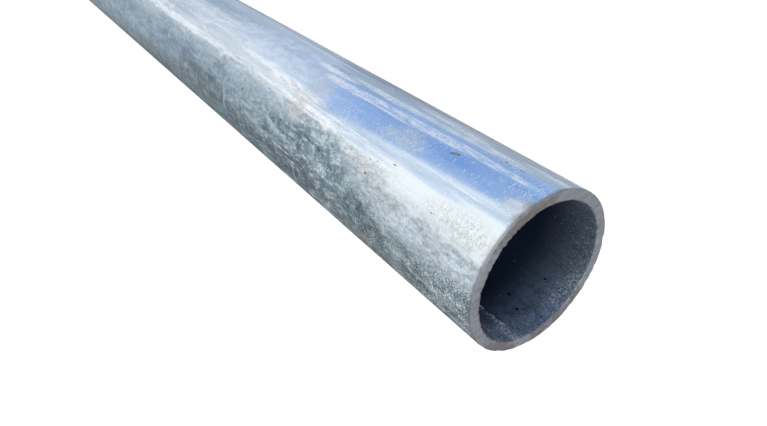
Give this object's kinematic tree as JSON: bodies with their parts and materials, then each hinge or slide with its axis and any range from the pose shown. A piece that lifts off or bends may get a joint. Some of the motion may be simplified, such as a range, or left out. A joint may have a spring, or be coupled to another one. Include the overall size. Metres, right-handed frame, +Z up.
{
  "type": "galvanised steel tube",
  "caption": "Long round galvanised steel tube, open right through, sawn square at both ends, with a low weld bead along its bore; stock for clamped frames, rails and posts.",
  "frame": {"origin": "on the ground under the tube's axis, in the middle of the sawn end that it stands on", "axes": "+Z up along the tube's axis to the end that the picture shows, +Y towards the weld bead inside, +X across"},
  "size_m": [0.0484, 0.0484, 1],
  "materials": {
    "galvanised_steel": "hot-dip galvanised, mottled and scuffed, with bare sawn ends"
  },
  "bodies": {
    "root": {"tube": "galvanised_steel"}
  },
  "joints": []
}
